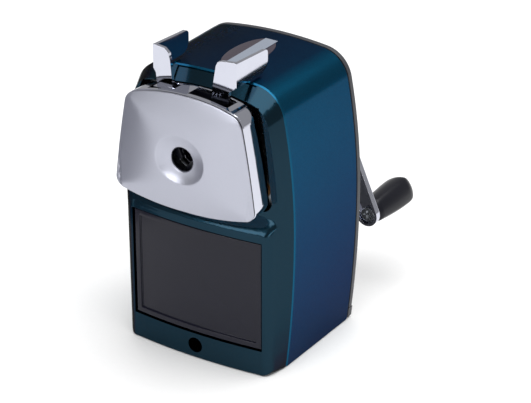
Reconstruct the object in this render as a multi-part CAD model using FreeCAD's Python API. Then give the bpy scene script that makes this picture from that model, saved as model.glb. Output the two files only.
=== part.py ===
import FreeCAD, Part
import math
import os
from FreeCAD import Vector as V

# Frame: +Z up, the front faces -Y, the origin is on the table under the middle of the body.
# All lengths are millimetres.

# --- body section, seen along Y: two side arcs, a shoulder and a shallow roof ---
SEAM_HALF_WIDTH = 37.3
REAR_HALF_WIDTH = 38.2
WIDEST_Z = 57.0
LOWER_SIDE_R = 480.0
UPPER_SIDE_R = 245.0
SHOULDER_R = 13.0
ROOF_R = 170.0
ROOF_Z = 117.0
WALL = 2.2

# --- stations along Y and the heights of the lower edges ---
SEAM_Y = -18.6
SHELL_BACK_Y = 27.0
REAR_Y = 30.2
SHELL_FOOT_Z = 0.4
PAN_FOOT_Z = 0.8
REAR_FOOT_Z = 5.4

# --- front moulding: bowed lower front, pillars beside the head and the roof lip ---
LOWER_FRONT_Y = -30.8
EDGE_X = 28.4
EDGE_Y = -29.0
CORNER_X = 33.0
CORNER_LEAN = 0.4
CORNER_Y = -26.6
CORNER_BULGE = 0.85
FOOT_CORNER_R = 4.2
PILLAR_FRONT_Y = -25.2
STEP_Z = 57.5
PILLAR_BASE_Z = 66.0
BEZEL_TOP_Z = 68.5
LIP_INSET = 2.5
LIP_DROP = 1.7
TUCK = 0.04
SCOOP_DEPTH = 0.9

# --- pencil axis ---
AXIS_Z = 88.0
PENCIL_BORE_R = 4.8

# --- head that slides out on two rods ---
HEAD_TOP_Z = 113.4
HEAD_BOTTOM_Z = 66.1
HEAD_FRONT_Y = -35.5
HEAD_BACK_Y = -25.4
HEAD_WALL = 1.2
HEAD_DRAFT = 0.3
HEAD_BACK_T = 0.9
PLATE_BACK_Y = -36.1
PLATE_RIM_Y = -36.7
ROD_X = 23.0
ROD_Z = 74.0
ROD_R = 2.0
ROD_END_Y = 24.6
POCKET_TOP_Z = 112.8
POCKET_ROOF_R = 120.0
RIGHT_SLOT = (0.5, 17.6)
LEFT_SLOT = (-17.6, -6.3)

# --- chuck and finger levers ---
JAW_COUNT = 3
JAW_PIVOT_R = 11.0
JAW_PIN_R = 1.2
JAW_LENGTH = 9.0
JAW_SET_DEG = 15.0
JAW_FRONT_Y = -34.0
JAW_BACK_Y = -32.3
DRIVE_PIN_R = 0.7
DRIVE_PIN_REACH = 3.4
DRIVE_PLAY = 0.35
LEVER_SWING_DEG = 15.0
LEVER_FRONT_Y = -28.3
LEVER_T = 1.5
LEVER_SIDE_X = 18.4
EYE_BORE_R = 5.9
RIVET_X = -13.4
RIVET_Z = (99.5, 104.5)
RIVET_R = 1.0
RUN_FIT = 0.05

# --- drawer and the clamp socket under it ---
DRAWER_X = 29.0
DRAWER_Z0 = 11.4
DRAWER_Z1 = 56.6
DRAWER_GAP = 0.6
DRAWER_BACK_Y = 16.0
DRAWER_WALL = 1.6
DRAWER_BORDER = 2.4
CLAMP_R = 3.2
CLAMP_Z = 5.7
CLAMP_DEPTH = 10.0

# --- oval label on the roof ---
LABEL_X = 2.8
LABEL_Y = 4.0
LABEL_HALF_X = 7.2
LABEL_HALF_Y = 15.6

# --- fasteners: places of each group ---
REAR_SCREWS = [(-30.5, 14.0), (30.5, 14.0), (-28.5, 100.0), (28.5, 100.0)]
BASE_SCREWS = [(-22.0, -6.5), (22.0, -6.5), (-22.0, 11.7), (22.0, 11.7)]
FRAME_SCREWS = [(-31.8, -11.0), (31.8, -11.0), (-31.8, 15.0), (31.8, 15.0)]
BEZEL_SCREWS = [(-28.0, 63.2), (28.0, 63.2)]
BOSS_Z0 = 4.6
BOSS_Z1 = 10.4
LEDGE_X = 29.6

# --- inner frame ---
FRAME_Z = 59.0
FRAME_T = 1.6
PLATE_Y0 = -18.0
PLATE_Y1 = -16.2
REAR_PLATE_Y0 = 19.5
REAR_PLATE_Y1 = 21.3

# --- cutter train ---
MODULE = 1.0
RING_TEETH = 34
PINION_TEETH = 12
CUTTER_SLOPE = 1.0 / 6.0
MESH_Y = -12.4
MESH_OFFSET = MODULE * (RING_TEETH - PINION_TEETH) / 2.0
PINION_HALF_T = 1.5
CUTTER_R = 6.4
CUTTER_Y0 = -10.0
CUTTER_Y1 = 14.0
CUTTER_BLADES = 10
CARRIER_R = 15.4
AXLE_R = 1.5
SHAFT_R = 3.0
BUSH_R = 4.6

# --- crank ---
BULGE_Y1 = 49.0
ARM_FRONT_Y = 53.5
ARM_DEPTH = 3.3
ARM_T = 1.0
ARM_HUB_R = 8.5
ARM_END_R = 4.8
KNOB_X = 27.6
KNOB_Z = 33.6
KNOB_Y0 = 57.2
KNOB_Y1 = 85.5
KNOB_NECK_R = 5.3
KNOB_END_R = 7.1
KNOB_FACETS = 4
KNOB_FLAT = 0.93
KNOB_RIDGE_DEG = 18.0
KNOB_PIN_R = 1.5


def save(name, shape):
    """Write one named piece."""
    shape.exportStep(os.path.join("parts", name + ".step"))


def cyl(r, y0, y1, x=0.0, z=AXIS_Z):
    """Cylinder along Y."""
    return Part.makeCylinder(r, y1 - y0, V(x, y0, z), V(0, 1, 0))


def tube(r_out, r_in, y0, y1, x=0.0, z=AXIS_Z):
    """Tube along Y."""
    return cyl(r_out, y0, y1, x, z).cut(cyl(r_in, y0 - 1, y1 + 1, x, z))


def cone(r0, r1, y0, y1, x=0.0, z=AXIS_Z):
    """Cone frustum along Y."""
    return Part.makeCone(r0, r1, y1 - y0, V(x, y0, z), V(0, 1, 0))


def block(x0, x1, y0, y1, z0, z1):
    """Box between two corners."""
    return Part.makeBox(x1 - x0, y1 - y0, z1 - z0, V(x0, y0, z0))


def join(shapes):
    """One solid from several that overlap."""
    return shapes[0].multiFuse(shapes[1:]).removeSplitter()


def mirror_x(shape):
    """The same piece on the other side of the middle."""
    return shape.mirror(V(0, 0, 0), V(1, 0, 0))


def turned(shape, degrees, axis=V(0, 1, 0), centre=V(0, 0, AXIS_Z)):
    """A copy turned about a line."""
    copy = shape.copy()
    copy.rotate(centre, axis, degrees)
    return copy


def arc(a, b, c):
    """Edge through three points."""
    return Part.Arc(a, b, c).toShape()


def line(a, b):
    """Straight edge."""
    return Part.makeLine(a, b)


def curve(points):
    """Smooth edge through points."""
    spline = Part.BSplineCurve()
    spline.interpolate(points)
    return spline.toShape()


def polygon(points, y0, y1):
    """Flat plate with a cornered outline in XZ."""
    ring = [V(x, y0, z) for x, z in points]
    wire = Part.makePolygon(ring + ring[:1])
    return Part.Face(wire).extrude(V(0, y1 - y0, 0))


# ---------------------------------------------------------------- body section

def half_width(y):
    """Greatest half width at a station: even in front of the seam, then flaring to the rear."""
    flare = max((y - SEAM_Y) / (REAR_Y - SEAM_Y), 0.0)
    return SEAM_HALF_WIDTH + (REAR_HALF_WIDTH - SEAM_HALF_WIDTH) * flare


def side_x(z, half, inset=0.0):
    """Half width at a height: one arc below the widest level and a tighter one above it."""
    radius = LOWER_SIDE_R if z < WIDEST_Z else UPPER_SIDE_R
    return half - radius + math.sqrt((radius - inset) ** 2 - (z - WIDEST_Z) ** 2)


def shoulder_centre(half):
    """Centre of the shoulder arc, tangent inside the upper side arc and the roof arc."""
    centre_x, centre_z = half - UPPER_SIDE_R, WIDEST_Z
    d_side, d_roof = UPPER_SIDE_R - SHOULDER_R, ROOF_R - SHOULDER_R
    dx, dz = -centre_x, ROOF_Z - ROOF_R - centre_z
    gap = math.hypot(dx, dz)
    along = (d_side ** 2 - d_roof ** 2 + gap ** 2) / (2 * gap)
    off = math.sqrt(d_side ** 2 - along ** 2)
    ux, uz = dx / gap, dz / gap
    return max((centre_x + along * ux - s * off * uz, centre_z + along * uz + s * off * ux) for s in (1, -1))


def section_wire(y, inset=0.0, foot=SHELL_FOOT_Z):
    """Closed outline of the body at a station, moved inward by an even amount."""
    half = half_width(y)
    round_r = SHOULDER_R - inset
    roof_c = ROOF_Z - ROOF_R
    sx, sz = shoulder_centre(half)

    def on_side(z):
        return V(side_x(z, half, inset), y, z)

    def on_shoulder(dx, dz):
        reach = math.hypot(dx, dz)
        return V(sx + round_r * dx / reach, y, sz + round_r * dz / reach)

    def flip(p):
        return V(-p.x, p.y, p.z)

    up_x = half - UPPER_SIDE_R
    side_reach, roof_reach = math.hypot(sx - up_x, sz - WIDEST_Z), math.hypot(sx, sz - roof_c)
    side_dir = ((sx - up_x) / side_reach, (sz - WIDEST_Z) / side_reach)
    roof_dir = (sx / roof_reach, (sz - roof_c) / roof_reach)
    p0, p1, p2 = on_side(foot), on_side((foot + WIDEST_Z) / 2), on_side(WIDEST_Z)
    p4 = on_shoulder(*side_dir)
    p3 = on_side((WIDEST_Z + p4.z) / 2)
    p5 = on_shoulder(side_dir[0] + roof_dir[0], side_dir[1] + roof_dir[1])
    p6 = on_shoulder(*roof_dir)
    p7 = V(0, y, ROOF_Z - inset)
    edges = [arc(p0, p1, p2), arc(p2, p3, p4), arc(p4, p5, p6), arc(p6, p7, flip(p6)),
             arc(flip(p6), flip(p5), flip(p4)), arc(flip(p4), flip(p3), flip(p2)),
             arc(flip(p2), flip(p1), flip(p0)), line(flip(p0), p0)]
    return Part.Wire(edges)


def section(y0, y1, inset=0.0, foot=SHELL_FOOT_Z):
    """Body between two stations."""
    return Part.makeLoft([section_wire(y0, inset, foot), section_wire(y1, inset, foot)], True, True)


# ---------------------------------------------------------------- head outline

def head_wire(y, grow=0.0):
    """Outline of the chuck head: crowned top, flared sides, round lower corners, dished bottom."""
    top = V(0, y, HEAD_TOP_Z)
    top_side = V(14.0, y, 112.2)
    top_end = V(21.5, y, 110.4)
    shoulder = V(24.4, y, 108.6)
    side_a = V(25.9, y, 105.6)
    side_m = V(28.7, y, 90.0)
    side_b = V(30.9, y, 74.4)
    corner = V(30.5, y, 71.3)
    low_a = V(28.0, y, 69.3)
    low_m = V(14.6, y, 66.8)
    bottom = V(0, y, HEAD_BOTTOM_Z)

    def flip(p):
        return V(-p.x, p.y, p.z)

    half = [arc(top, top_side, top_end), arc(top_end, shoulder, side_a), arc(side_a, side_m, side_b),
            arc(side_b, corner, low_a), arc(low_a, low_m, bottom)]
    other = [arc(bottom, flip(low_m), flip(low_a)), arc(flip(low_a), flip(corner), flip(side_b)),
             arc(flip(side_b), flip(side_m), flip(side_a)), arc(flip(side_a), flip(shoulder), flip(top_end)),
             arc(flip(top_end), flip(top_side), top)]
    wire = Part.Wire(half + other)
    if grow:
        wire = Part.Face(wire).makeOffset2D(grow).OuterWire
    return wire


def head_block(y0, y1, grow=0.0):
    """Head outline drawn out along Y."""
    return Part.Face(head_wire(y0, grow)).extrude(V(0, y1 - y0, 0))


# ---------------------------------------------------------------- casing

def ease(z, z0, z1):
    """Smooth step from 0 at z0 to 1 at z1."""
    t = min(max((z - z0) / (z1 - z0), 0.0), 1.0)
    return t * t * (3.0 - 2.0 * t)


def blend(a, b, t):
    """Value between two others."""
    return a + (b - a) * t


def bezel_plan(z):
    """Level outline of the lower bezel: flat side bands, rounded corners and a bowed front.

    Above the drawer the corners step back to the pillars and the bow sweeps back under the head,
    where the outline ends a hair inside the pillars so that the two join cleanly.
    """
    step, sweep = ease(z, STEP_Z + 0.5, PILLAR_BASE_Z), ease(z, STEP_Z + 2.0, BEZEL_TOP_Z - 0.5)
    seam_x = side_x(z, SEAM_HALF_WIDTH) - TUCK * step
    pillar_x = side_x(z + LIP_DROP, SEAM_HALF_WIDTH, LIP_INSET) - TUCK
    corner_x = blend(CORNER_X + CORNER_LEAN * z / WIDEST_Z, pillar_x, step)
    corner_y = blend(CORNER_Y, PILLAR_FRONT_Y + 3 * TUCK, step)
    edge_y = blend(EDGE_Y, PILLAR_FRONT_Y + 2 * TUCK, sweep)
    front_y = blend(LOWER_FRONT_Y, PILLAR_FRONT_Y + TUCK, sweep)
    chord = V(corner_x - EDGE_X, corner_y - edge_y, 0)
    bulge = blend(CORNER_BULGE, 0, sweep) / chord.Length
    round_x = EDGE_X + chord.x / 2 + chord.y * bulge
    round_y = edge_y + chord.y / 2 - chord.x * bulge

    def at(x, y):
        return V(x, y, z)

    bow = [at(EDGE_X * t / 4.0, blend(front_y, edge_y, (t / 4.0) ** 2)) for t in range(4, -5, -1)]
    return Part.Wire([line(at(-seam_x, SEAM_Y), at(seam_x, SEAM_Y)),
                      line(at(seam_x, SEAM_Y), at(corner_x, corner_y)),
                      curve([at(corner_x, corner_y), at(round_x, round_y), at(EDGE_X, edge_y)]),
                      curve(bow),
                      curve([at(-EDGE_X, edge_y), at(-round_x, round_y), at(-corner_x, corner_y)]),
                      line(at(-corner_x, corner_y), at(-seam_x, SEAM_Y))])


def foot_corner():
    """What is taken off a lower corner of the bezel: a round that fades out towards the seam."""
    def outside(y, x, r):
        turn = r * (1 - math.sqrt(0.5))
        a, b = V(x, y, SHELL_FOOT_Z + r), V(x - r, y, SHELL_FOOT_Z)
        below, far = V(x - r, y, SHELL_FOOT_Z - 2), V(x + 4, y, SHELL_FOOT_Z - 2)
        side = V(x + 4, y, SHELL_FOOT_Z + r)
        return Part.Wire([arc(a, V(x - turn, y, SHELL_FOOT_Z + turn), b), line(b, below), line(below, far),
                          line(far, side), line(side, a)])

    seam_x = side_x(SHELL_FOOT_Z, SEAM_HALF_WIDTH)
    reach = LOWER_FRONT_Y - 1.0
    front_x = blend(seam_x, CORNER_X, (SEAM_Y - reach) / (SEAM_Y - CORNER_Y))
    return Part.makeLoft([outside(SEAM_Y + 0.5, seam_x + 0.3, 0.4), outside(reach, front_x, FOOT_CORNER_R)],
                         True, True)


def front_bezel():
    """Front moulding: drawer frame below, pocket for the head above, clamp socket in its foot."""
    upper = lip_loft(0.0).cut(block(-50, 50, -40, 0, -5, PILLAR_BASE_Z))
    straight = [blend(SHELL_FOOT_Z, STEP_Z, k / 6.0) for k in range(7)]
    stepped = [blend(STEP_Z, BEZEL_TOP_Z, k / 10.0) for k in range(11)]
    lower = Part.makeLoft([bezel_plan(z) for z in straight], True, True)
    swept = Part.makeLoft([bezel_plan(z) for z in stepped], True, False)
    body = join([upper, lower, swept]).cut(head_pocket())
    body = body.cut(foot_corner()).cut(mirror_x(foot_corner()))
    body = body.cut(block(-DRAWER_X - DRAWER_GAP, DRAWER_X + DRAWER_GAP, -40, -10,
                          DRAWER_Z0 - DRAWER_GAP, DRAWER_Z1 + DRAWER_GAP))
    lighten = block(8, 26, LOWER_FRONT_Y + 4, SEAM_Y + 1, 3.0, 8.6)
    body = body.cut(lighten).cut(mirror_x(lighten))
    body = body.cut(cyl(CLAMP_R, -40, LOWER_FRONT_Y + CLAMP_DEPTH, 0, CLAMP_Z))
    for x, z in BEZEL_SCREWS:
        body = body.cut(cyl(1.2, SEAM_Y - 5.5, SEAM_Y + 1, x, z))
    scoop = polygon([(-14.5, 120), (-14.5, 117.5), (-11.0, 110), (21.0, 110), (21.0, 120)], -27, SEAM_Y + 0.2)
    return body.cut(scoop.cut(lip_loft(SCOOP_DEPTH)))


def lip_loft(inset):
    """Tapered front of the casing, from the seam forward to the pillars and the roof lip."""
    front = section_wire(PILLAR_FRONT_Y, LIP_INSET + inset)
    front.translate(V(0, 0, -LIP_DROP))
    return Part.makeLoft([section_wire(SEAM_Y, inset), front], True, True)


def head_pocket():
    """Space the head sits in: wide at the shoulders, close at the foot, under a crowned roof."""
    half = [V(0, -40, 116.0), V(21.0, -40, 116.0), V(26.0, -40, 109.5), V(27.6, -40, 105.2),
            V(29.6, -40, 90.0), V(31.4, -40, 74.4), V(31.0, -40, 70.9), V(28.3, -40, 68.8),
            V(14.7, -40, 66.2), V(0, -40, 65.5)]

    def side(sign):
        p = [V(sign * q.x, q.y, q.z) for q in half]
        return [line(p[0], p[1]), arc(p[1], p[2], p[3]), arc(p[3], p[4], p[5]), arc(p[5], p[6], p[7]),
                arc(p[7], p[8], p[9])]

    edges = side(1) + side(-1)
    pocket = Part.Face(Part.Wire(Part.__sortEdges__(edges))).extrude(V(0, 30, 0))
    roof = Part.makeCylinder(POCKET_ROOF_R, 40, V(0, -45, POCKET_TOP_Z - POCKET_ROOF_R), V(0, 1, 0))
    return pocket.common(roof)


def outer_shell():
    """Barrel casing: a thin open tube with softened ends, bosses for screws and ledges for the frame."""
    y0, y1 = SEAM_Y + 0.5, SHELL_BACK_Y
    ends = [Part.makeLoft([section_wire(a, 0.45), section_wire(b)], True, True)
            for a, b in ((y0, y0 + 0.7), (y1, y1 - 0.7))]
    shell = join([section(y0 + 0.7, y1 - 0.7)] + ends)
    shell = shell.cut(section(y0 - 1, y1 + 1, WALL, -2))
    inside = section(y0 + 0.8, y1, 0.8)
    bosses = []
    for x, z in REAR_SCREWS:
        reach = math.copysign(5.0, x)
        web = block(min(x, x + reach), max(x, x + reach), y1 - 10, y1, z - 2.0, z + 2.0)
        bosses.append(join([cyl(3.2, y1 - 10, y1, x, z), web]))
    for x, y in BASE_SCREWS:
        reach = math.copysign(12.0, x)
        rib = block(min(x, x + reach), max(x, x + reach), y - 1.5, y + 1.5, BOSS_Z0, BOSS_Z1)
        bosses.append(join([Part.makeCylinder(3.6, BOSS_Z1 - BOSS_Z0, V(x, y, BOSS_Z0)), rib]))
    for x, y in FRAME_SCREWS:
        inner = math.copysign(LEDGE_X, x)
        outer = math.copysign(REAR_HALF_WIDTH, x)
        bosses.append(block(min(inner, outer), max(inner, outer), y - 3, y + 3, 53.5, FRAME_Z))
    shell = join([shell] + [b.common(inside) for b in bosses])
    for x, z in REAR_SCREWS:
        shell = shell.cut(cyl(1.25, y1 - 9, y1 + 1, x, z))
    for x, y in BASE_SCREWS:
        shell = shell.cut(Part.makeCylinder(1.3, BOSS_Z1 - 1.5, V(x, y, 0)))
    for x, y in FRAME_SCREWS:
        shell = shell.cut(Part.makeCylinder(1.1, 5.2, V(x, y, FRAME_Z - 5.0)))
    return shell.cut(label_plate(0.1, -0.9, 3.0))


def screw(x, y, z, head_r, shank_r, length, head_h, into=V(0, 1, 0)):
    """Pan-head screw with a cross recess; it points along its axis from the underside of the head."""
    seat = V(x, y, z)
    back = V(-into.x, -into.y, -into.z)
    head = Part.makeCylinder(head_r, head_h, seat, back)
    shank = Part.makeCylinder(shank_r, length, seat, into)
    body = head.fuse(shank)
    top = seat + back * (head_h - 0.7)
    bar = Part.makeBox(head_r * 1.1, head_r * 0.28, 1.2, V(-head_r * 0.55, -head_r * 0.14, 0))
    cross = bar.fuse(bar.rotated(V(0, 0, 0), V(0, 0, 1), 90))
    cross.Placement = FreeCAD.Placement(top, FreeCAD.Rotation(V(0, 0, 1), back))
    return body.cut(cross).removeSplitter()


def rear_cover():
    """Dark rear cover with the gearbox bulge that the crank shaft comes out of."""
    plate = Part.makeLoft([section_wire(SHELL_BACK_Y + 0.3, 0.1, REAR_FOOT_Z),
                           section_wire(REAR_Y - 0.8, 0.1, REAR_FOOT_Z),
                           section_wire(REAR_Y, 0.9, REAR_FOOT_Z + 0.8)], True, True)
    bulge = cone(19.0, 14.0, REAR_Y - 0.5, BULGE_Y1 - 3.0).fuse(cone(14.0, 10.5, BULGE_Y1 - 3.0, BULGE_Y1))
    hollow = cone(17.2, 12.2, SHELL_BACK_Y, 44.0)
    cover = join([plate, bulge]).cut(hollow).cut(cyl(BUSH_R, 40, 50))
    for x, z in REAR_SCREWS:
        cover = cover.cut(cyl(1.5, SHELL_BACK_Y, REAR_Y + 1, x, z))
        cover = cover.cut(cyl(2.9, REAR_Y - 1.4, REAR_Y + 1, x, z))
    return cover


def rear_cover_screws():
    """Four screws that hold the rear cover to the shell."""
    return Part.makeCompound([screw(x, REAR_Y - 1.4, z, 2.6, 1.25, 8.5, 1.3, V(0, -1, 0))
                              for x, z in REAR_SCREWS])


def base_pan():
    """Floor of the body with a short rear apron and four screw recesses."""
    floor = section(SEAM_Y + 0.3, SHELL_BACK_Y - 0.2, WALL + 0.3, PAN_FOOT_Z)
    floor = floor.common(block(-50, 50, -30, 40, PAN_FOOT_Z, 4.4))
    apron = section(SHELL_BACK_Y + 0.3, REAR_Y - 0.1, 0.1, PAN_FOOT_Z)
    apron = apron.common(block(-50, 50, 0, 40, PAN_FOOT_Z, REAR_FOOT_Z - 0.3))
    tongue = block(-30, 30, SHELL_BACK_Y - 1, SHELL_BACK_Y + 1, PAN_FOOT_Z + 0.1, 4.4)
    pan = join([floor, apron, tongue])
    for x, y in BASE_SCREWS:
        pan = pan.cut(Part.makeCylinder(1.5, 9.0, V(x, y, 0)))
        pan = pan.cut(Part.makeCylinder(3.4, 2.4, V(x, y, 0)))
    groove = foot_outline(0.15).cut(foot_inside(0.15))
    return pan.cut(groove)


def rounded(x0, x1, y0, y1, z0, z1, r):
    """Box with rounded upright corners."""
    box = block(x0, x1, y0, y1, z0, z1)
    upright = [e for e in box.Edges if abs(e.BoundBox.ZLength - (z1 - z0)) < 1e-6]
    return box.makeFillet(r, upright)


def foot_outline(grow=0.0):
    """Outside of the rubber foot ring."""
    return rounded(-30.5 - grow, 30.5 + grow, -17.6 - grow, 25.4 + grow, 0.0, 1.6, 5.0 + grow)


def foot_inside(shrink=0.0):
    """Inside of the rubber foot ring."""
    return rounded(-27.5 + shrink, 27.5 - shrink, -11.2 + shrink, 16.4 - shrink, -1.0, 3.0, 3.5 - shrink)


def rubber_foot():
    """Non-slip ring the body stands on, pressed into a groove under the base."""
    return foot_outline().cut(foot_inside())


def base_screws():
    """Four screws from below into the shell's bosses."""
    return Part.makeCompound([screw(x, y, 2.4, 2.9, 1.3, 6.0, 1.3, V(0, 0, 1)) for x, y in BASE_SCREWS])


def label_plate(grow, z_low, z_high):
    """Oval drawn down through the roof, kept to a band that follows the roof arc."""
    oval = Part.Ellipse(V(LABEL_X, LABEL_Y, 100), LABEL_HALF_Y + grow, LABEL_HALF_X + grow).toShape()
    oval.rotate(V(LABEL_X, LABEL_Y, 100), V(0, 0, 1), 90)
    post = Part.Face(Part.Wire([oval])).extrude(V(0, 0, 30))
    band = Part.makeCylinder(ROOF_R + z_high, 80, V(0, -40, ROOF_Z - ROOF_R), V(0, 1, 0))
    core = Part.makeCylinder(ROOF_R + z_low, 80, V(0, -40, ROOF_Z - ROOF_R), V(0, 1, 0))
    return post.common(band.cut(core))


def label_bar():
    """Plain bright bar let into the label."""
    x0, x1, y0, y1 = LABEL_X - 1.9, LABEL_X + 3.6, -9.0, 19.0
    band = Part.makeCylinder(ROOF_R + 0.35, 80, V(0, -40, ROOF_Z - ROOF_R), V(0, 1, 0))
    core = Part.makeCylinder(ROOF_R + 0.05, 80, V(0, -40, ROOF_Z - ROOF_R), V(0, 1, 0))
    return block(x0, x1, y0, y1, 110, 120).common(band.cut(core))


# ---------------------------------------------------------------- inner frame

def mech_frame():
    """One bent steel frame: front plate, two rails and a rear plate with the shaft hole."""
    inner = section(PLATE_Y0, PLATE_Y1, WALL + 0.4).common(block(-50, 50, -30, 0, FRAME_Z, 108.0))
    front = inner.cut(cyl(9.0, -30, 0))
    for side in (-1, 1):
        front = front.cut(cyl(3.6, -30, 0, side * ROD_X, ROD_Z))
    rails = [block(min(s * 20, s * 34), max(s * 20, s * 34), PLATE_Y1 - 0.5, REAR_PLATE_Y1,
                   FRAME_Z, FRAME_Z + FRAME_T) for s in (-1, 1)]
    rear = polygon([(-24, FRAME_Z), (24, FRAME_Z), (24, 64.0), (17, 70.0), (17, 100.0), (10, 106.0),
                    (-10, 106.0), (-17, 100.0), (-17, 70.0), (-24, 64.0)], REAR_PLATE_Y0, REAR_PLATE_Y1)
    frame = join([front, rear.cut(cyl(BUSH_R, 0, 40))] + rails)
    for x, y in FRAME_SCREWS:
        frame = frame.cut(Part.makeCylinder(1.3, 10, V(x, y, FRAME_Z - 5)))
    for x, z in BEZEL_SCREWS:
        frame = frame.cut(cyl(1.4, -30, 0, x, z))
    return frame


def frame_screws():
    """Four screws that hold the frame's rails to the shell's ledges."""
    return Part.makeCompound([screw(x, y, FRAME_Z + FRAME_T, 2.2, 1.1, 5.6, 1.2, V(0, 0, -1))
                              for x, y in FRAME_SCREWS])


def bezel_screws():
    """Two screws through the front plate into the bezel."""
    return Part.makeCompound([screw(x, PLATE_Y1, z, 2.2, 1.2, 7.0, 1.2, V(0, -1, 0))
                              for x, z in BEZEL_SCREWS])


def teeth(count, r_root, r_tip, half_root, half_tip, y0, y1, first_deg):
    """Ring of plain tapered gear teeth about the pencil axis."""
    tooth = polygon([(-half_root, AXIS_Z + r_root), (half_root, AXIS_Z + r_root),
                     (half_tip, AXIS_Z + r_tip), (-half_tip, AXIS_Z + r_tip)], y0, y1)
    return [turned(tooth, first_deg + 360.0 * k / count) for k in range(count)]


def ring_gear():
    """Fixed internal gear behind the front plate."""
    pitch = MODULE * RING_TEETH / 2.0
    rim = tube(pitch + 3.2, pitch + 1.3, PLATE_Y1, MESH_Y + 2.8)
    step = 360.0 / RING_TEETH
    inward = teeth(RING_TEETH, pitch + 1.6, pitch - 0.65, 1.05, 0.4, PLATE_Y1 + 0.1, MESH_Y + 2.7, step / 2)
    return join([rim] + inward)


def on_cutter_axis(shape):
    """Tilt a piece modelled on the pencil axis at the mesh station onto the cutter's own axis."""
    copy = shape.copy()
    copy.rotate(V(0, MESH_Y, AXIS_Z), V(1, 0, 0), -math.degrees(math.atan(CUTTER_SLOPE)))
    copy.translate(V(0, 0, MESH_OFFSET))
    return copy


def cutter_pinion():
    """Twelve-tooth pinion on the front end of the cutter."""
    pitch = MODULE * PINION_TEETH / 2.0
    y0, y1 = MESH_Y - PINION_HALF_T, MESH_Y + PINION_HALF_T
    core = cyl(pitch - 1.15, y0, y1)
    out = teeth(PINION_TEETH, pitch - 1.6, pitch + 0.75, 0.95, 0.35, y0, y1, 0.0)
    gear = join([core] + out).cut(cyl(AXLE_R + RUN_FIT, -50, 50))
    return on_cutter_axis(gear)


def helical_cutter():
    """Milling cutter: a cylinder with helical blades."""
    turns = 0.30
    length = (CUTTER_Y1 - CUTTER_Y0) / math.cos(math.atan(CUTTER_SLOPE)) - 1.0
    y0 = MESH_Y + 2.2
    layers = 6
    wires = []
    for k in range(layers + 1):
        y = y0 + length * k / layers
        phase = 360.0 * turns * k / layers
        points = []
        for i in range(CUTTER_BLADES):
            for r, off in ((CUTTER_R - 1.3, 0.0), (CUTTER_R, 20.0), (CUTTER_R, 25.0)):
                a = math.radians(i * 360.0 / CUTTER_BLADES + off + phase)
                points.append(V(r * math.sin(a), y, AXIS_Z + r * math.cos(a)))
        wires.append(Part.makePolygon(points + points[:1]))
    body = Part.makeLoft(wires, True, True)
    return on_cutter_axis(body.cut(cyl(AXLE_R + RUN_FIT, -50, 50)))


def cutter_axle():
    """Pin that the cutter and its pinion turn on."""
    return on_cutter_axis(cyl(AXLE_R, MESH_Y - 3.3, MESH_Y + 29.9))


def cutter_carrier():
    """Carrier that swings the tilted cutter round the pencil: collar, two arms and a side bridge."""
    collar = cyl(9.0 - RUN_FIT, PLATE_Y0 - 1.0, PLATE_Y1 + 0.3)
    disc = cyl(CARRIER_R, PLATE_Y1 + 0.3, PLATE_Y1 + 1.9)
    rear = cyl(CARRIER_R, 16.4, 18.6)
    below_axis = block(-30, 30, -40, 40, AXIS_Z - 30, AXIS_Z - 2.0)
    bridge = tube(CARRIER_R, CARRIER_R - 2.8, PLATE_Y1 + 1.0, 18.0).common(below_axis)
    boss = cyl(5.5, 18.0, REAR_PLATE_Y0 - 0.4)
    body = join([collar, disc, rear, bridge, boss]).cut(cyl(6.0, -30, 5))
    body = body.cut(on_cutter_axis(cyl(AXLE_R, MESH_Y - 9, MESH_Y + 40)))
    body = body.cut(on_cutter_axis(cyl(MODULE * PINION_TEETH / 2 + 1.2, MESH_Y - 1.9, MESH_Y + 1.9)))
    return body.cut(cyl(SHAFT_R, 10.0, 40))


def crank_shaft():
    """Steel shaft from the carrier out to the crank."""
    return cyl(SHAFT_R, 16.6, ARM_FRONT_Y + ARM_DEPTH - 0.8)


def shaft_bushes():
    """Two plain bushes that the crank shaft turns in."""
    inner = tube(BUSH_R, SHAFT_R + RUN_FIT, REAR_PLATE_Y0, REAR_PLATE_Y1 + 1.2)
    outer = tube(BUSH_R, SHAFT_R + RUN_FIT, BULGE_Y1 - 6.0, BULGE_Y1 + 0.6)
    return Part.makeCompound([inner, outer])


def rod_bushes():
    """Two flanged bushes in the front plate that the head's rods slide in."""
    bushes = []
    for side in (-1, 1):
        sleeve = tube(3.6, ROD_R + RUN_FIT, PLATE_Y0, PLATE_Y0 + 6.0, side * ROD_X, ROD_Z)
        flange = tube(5.0, ROD_R + RUN_FIT, PLATE_Y1, PLATE_Y1 + 1.2, side * ROD_X, ROD_Z)
        bushes.append(join([sleeve, flange]))
    return Part.makeCompound(bushes)


# ---------------------------------------------------------------- head

def face_plate():
    """Satin front plate: hipped cushion form round a dished crater with the pencil hole."""
    rim = head_block(PLATE_RIM_Y, PLATE_BACK_Y)
    crown = Part.makeLoft([head_wire(PLATE_RIM_Y), head_wire(PLATE_RIM_Y - 0.9, -1.2)], True, True)
    lower = head_wire(PLATE_RIM_Y - 0.9, -1.2)
    solids = [rim, crown]
    for rise, grow in ((1.9, -7.5), (2.4, -12.0)):
        upper = head_wire(PLATE_RIM_Y - rise, grow)
        solids.append(Part.makeLoft([lower, upper], True, True))
        lower = upper
    crater = cone(9.6, 12.6, PLATE_RIM_Y - 2.6, PLATE_RIM_Y)
    plate = join(solids + [crater])
    plate = plate.cut(cone(9.2, 5.4, PLATE_RIM_Y - 2.61, PLATE_RIM_Y - 1.1))
    return plate.cut(cyl(PENCIL_BORE_R, -50, -30))


def plate_gasket():
    """Thin black spacer that shows as the groove round the face plate."""
    return head_block(PLATE_BACK_Y, HEAD_FRONT_Y, -0.8).cut(cyl(PENCIL_BORE_R + 0.4, -50, -30))


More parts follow.
